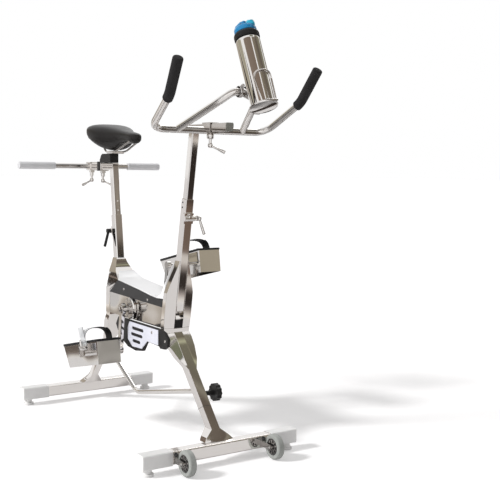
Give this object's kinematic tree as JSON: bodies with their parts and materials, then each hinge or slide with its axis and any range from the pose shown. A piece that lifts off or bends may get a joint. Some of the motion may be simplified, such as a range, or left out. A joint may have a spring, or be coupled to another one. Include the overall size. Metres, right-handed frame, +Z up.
{
  "type": "aqua bike",
  "caption": "Pool exercise bike with a bright steel frame, box pedals, sliding saddle and handlebar, rear hand bar and a bottle in its cage.",
  "frame": {"origin": "on the floor, below the middle of the whole machine", "axes": "+X forward, +Y to the rider's left, +Z up"},
  "size_m": [1.236, 0.584, 1.3326],
  "materials": {
    "polished_steel": "mirror-polished stainless steel",
    "bright_fittings": "polished stainless fittings",
    "boot_plastic": "pale translucent plastic",
    "tyre_plastic": "pale grey soft tyre",
    "black_rubber": "matt black rubber",
    "black_plastic": "satin black plastic",
    "saddle_vinyl": "smooth black vinyl",
    "dark_band": "dark grey satin sheet",
    "white_panel": "white satin sheet",
    "pale_grip": "pale grey soft grip",
    "plug_plastic": "dark olive plastic",
    "bottle_steel": "bright steel bottle",
    "cap_plastic": "blue gloss plastic"
  },
  "bodies": {
    "frame": {"front_foot_tube": "polished_steel", "rear_foot_tube": "polished_steel", "front_boot_right": "boot_plastic", "front_boot_left": "boot_plastic", "rear_boot_right": "boot_plastic", "rear_boot_left": "boot_plastic", "wheel_fork_right": "bright_fittings", "wheel_fork_left": "bright_fittings", "front_leg": "polished_steel", "rear_leg": "polished_steel", "lower_strut": "polished_steel", "front_column": "polished_steel", "seat_column": "polished_steel", "seat_fairing": "polished_steel", "body_core": "polished_steel", "top_panel": "white_panel", "knee_bolt": "bright_fittings", "side_cover": "black_plastic", "side_cover_plate": "white_panel", "front_cheek_right": "polished_steel", "front_cheek_left": "polished_steel", "side_band_right": "dark_band", "side_band_left": "dark_band", "bearing_housing_right": "bright_fittings", "bearing_housing_left": "bright_fittings"},
    "strut_knob": {"strut_knob": "black_plastic"},
    "wheel_right": {"wheel_hub_right": "bright_fittings", "wheel_tyre_right": "tyre_plastic"},
    "wheel_left": {"wheel_hub_left": "bright_fittings", "wheel_tyre_left": "tyre_plastic"},
    "crank": {"crank_axle": "bright_fittings", "crank_arm_right": "bright_fittings", "crank_arm_left": "bright_fittings"},
    "pedal_right": {"pedal_right": "polished_steel", "pedal_pad_right": "black_rubber", "pedal_strap_right": "black_rubber"},
    "pedal_left": {"pedal_left": "polished_steel", "pedal_pad_left": "black_rubber", "pedal_strap_left": "black_rubber"},
    "seat_post": {"seat_post": "polished_steel"},
    "rear_hand_bar": {"rear_hand_bar": "polished_steel", "rear_grip_right": "pale_grip", "rear_grip_left": "pale_grip"},
    "seat_lock_lever": {"seat_lock_lever": "black_plastic"},
    "rear_bar_lever": {"rear_bar_lever": "bright_fittings"},
    "saddle": {"saddle_carriage": "black_plastic", "saddle_rails": "bright_fittings", "saddle": "saddle_vinyl"},
    "saddle_lever": {"saddle_lever": "bright_fittings"},
    "handlebar_post": {"handlebar_post": "polished_steel", "bar_plug": "plug_plastic"},
    "post_lock_lever": {"post_lock_lever": "bright_fittings"},
    "handlebar": {"handlebar": "polished_steel", "grip_right": "black_rubber", "grip_left": "black_rubber", "bottle_cage": "bright_fittings"},
    "handlebar_lever": {"handlebar_lever": "bright_fittings"},
    "bottle": {"bottle": "bottle_steel"},
    "bottle_lid": {"bottle_lid": "black_plastic"},
    "bottle_cap": {"bottle_cap": "cap_plastic"}
  },
  "joints": [
    {"name": "strut_knob_turn", "type": "hinge", "parent": "frame", "child": "strut_knob", "pos_m": [0.24859, 0, 0.187], "axis": [0, 1, 0], "continuous": true},
    {"name": "wheel_right_roll", "type": "hinge", "parent": "frame", "child": "wheel_right", "pos_m": [0.44303, -0.1585, 0.041], "axis": [0, 1, 0], "continuous": true},
    {"name": "wheel_left_roll", "type": "hinge", "parent": "frame", "child": "wheel_left", "pos_m": [0.44303, 0.1585, 0.041], "axis": [0, 1, 0], "continuous": true},
    {"name": "crank_turn", "type": "hinge", "parent": "frame", "child": "crank", "pos_m": [-0.12997, 0, 0.418], "axis": [0, 1, 0], "continuous": true},
    {"name": "pedal_right_turn", "type": "hinge", "parent": "crank", "child": "pedal_right", "pos_m": [-0.14599, -0.185, 0.27288], "axis": [0, 1, 0], "continuous": true},
    {"name": "pedal_left_turn", "type": "hinge", "parent": "crank", "child": "pedal_left", "pos_m": [-0.11394, 0.185, 0.56312], "axis": [0, 1, 0], "continuous": true},
    {"name": "seat_post_height", "type": "slide", "parent": "frame", "child": "seat_post", "axis": [-0.129, 0, 0.9916], "range_m": [-0.1, 0.1]},
    {"name": "seat_lock_turn", "type": "hinge", "parent": "frame", "child": "seat_lock_lever", "pos_m": [-0.36576, 0, 0.672], "axis": [0, 1, 0], "range_deg": [-80, 80]},
    {"name": "rear_hand_bar_turn", "type": "hinge", "parent": "seat_post", "child": "rear_hand_bar", "pos_m": [-0.56495, 0, 0.908], "axis": [0, 1, 0], "continuous": true},
    {"name": "rear_bar_lever_turn", "type": "hinge", "parent": "seat_post", "child": "rear_bar_lever", "pos_m": [-0.56495, 0, 0.855], "axis": [0, 0, 1], "range_deg": [-60, 60]},
    {"name": "saddle_reach", "type": "slide", "parent": "seat_post", "child": "saddle", "axis": [1, 0, 0], "range_m": [-0.06, 0.055]},
    {"name": "saddle_lever_turn", "type": "hinge", "parent": "saddle", "child": "saddle_lever", "pos_m": [-0.46595, 0, 0.855], "axis": [0, 0, 1], "range_deg": [-20, 75]},
    {"name": "handlebar_post_height", "type": "slide", "parent": "frame", "child": "handlebar_post", "axis": [0.1657, 0, 0.9862], "range_m": [-0.11, 0.12]},
    {"name": "post_lock_turn", "type": "hinge", "parent": "frame", "child": "post_lock_lever", "pos_m": [0.1789, 0, 0.746], "axis": [0, 1, 0], "range_deg": [-80, 80]},
    {"name": "handlebar_reach", "type": "slide", "parent": "handlebar_post", "child": "handlebar", "axis": [1, 0, 0], "range_m": [-0.05, 0.07]},
    {"name": "handlebar_lever_turn", "type": "hinge", "parent": "handlebar", "child": "handlebar_lever", "pos_m": [0.29703, 0, 0.978], "axis": [0, 0, 1], "range_deg": [-60, 60]},
    {"name": "bottle_lift", "type": "slide", "parent": "handlebar", "child": "bottle", "axis": [-0.4035, 0, 0.915], "range_m": [0, 0.15]},
    {"name": "bottle_lid_turn", "type": "hinge", "parent": "bottle", "child": "bottle_lid", "pos_m": [0.58003, 0, 1.083], "axis": [-0.4035, 0, 0.915], "continuous": true},
    {"name": "bottle_cap_turn", "type": "hinge", "parent": "bottle_lid", "child": "bottle_cap", "pos_m": [0.47769, 0, 1.30017], "axis": [-0.4035, 0, 0.915], "continuous": true}
  ]
}
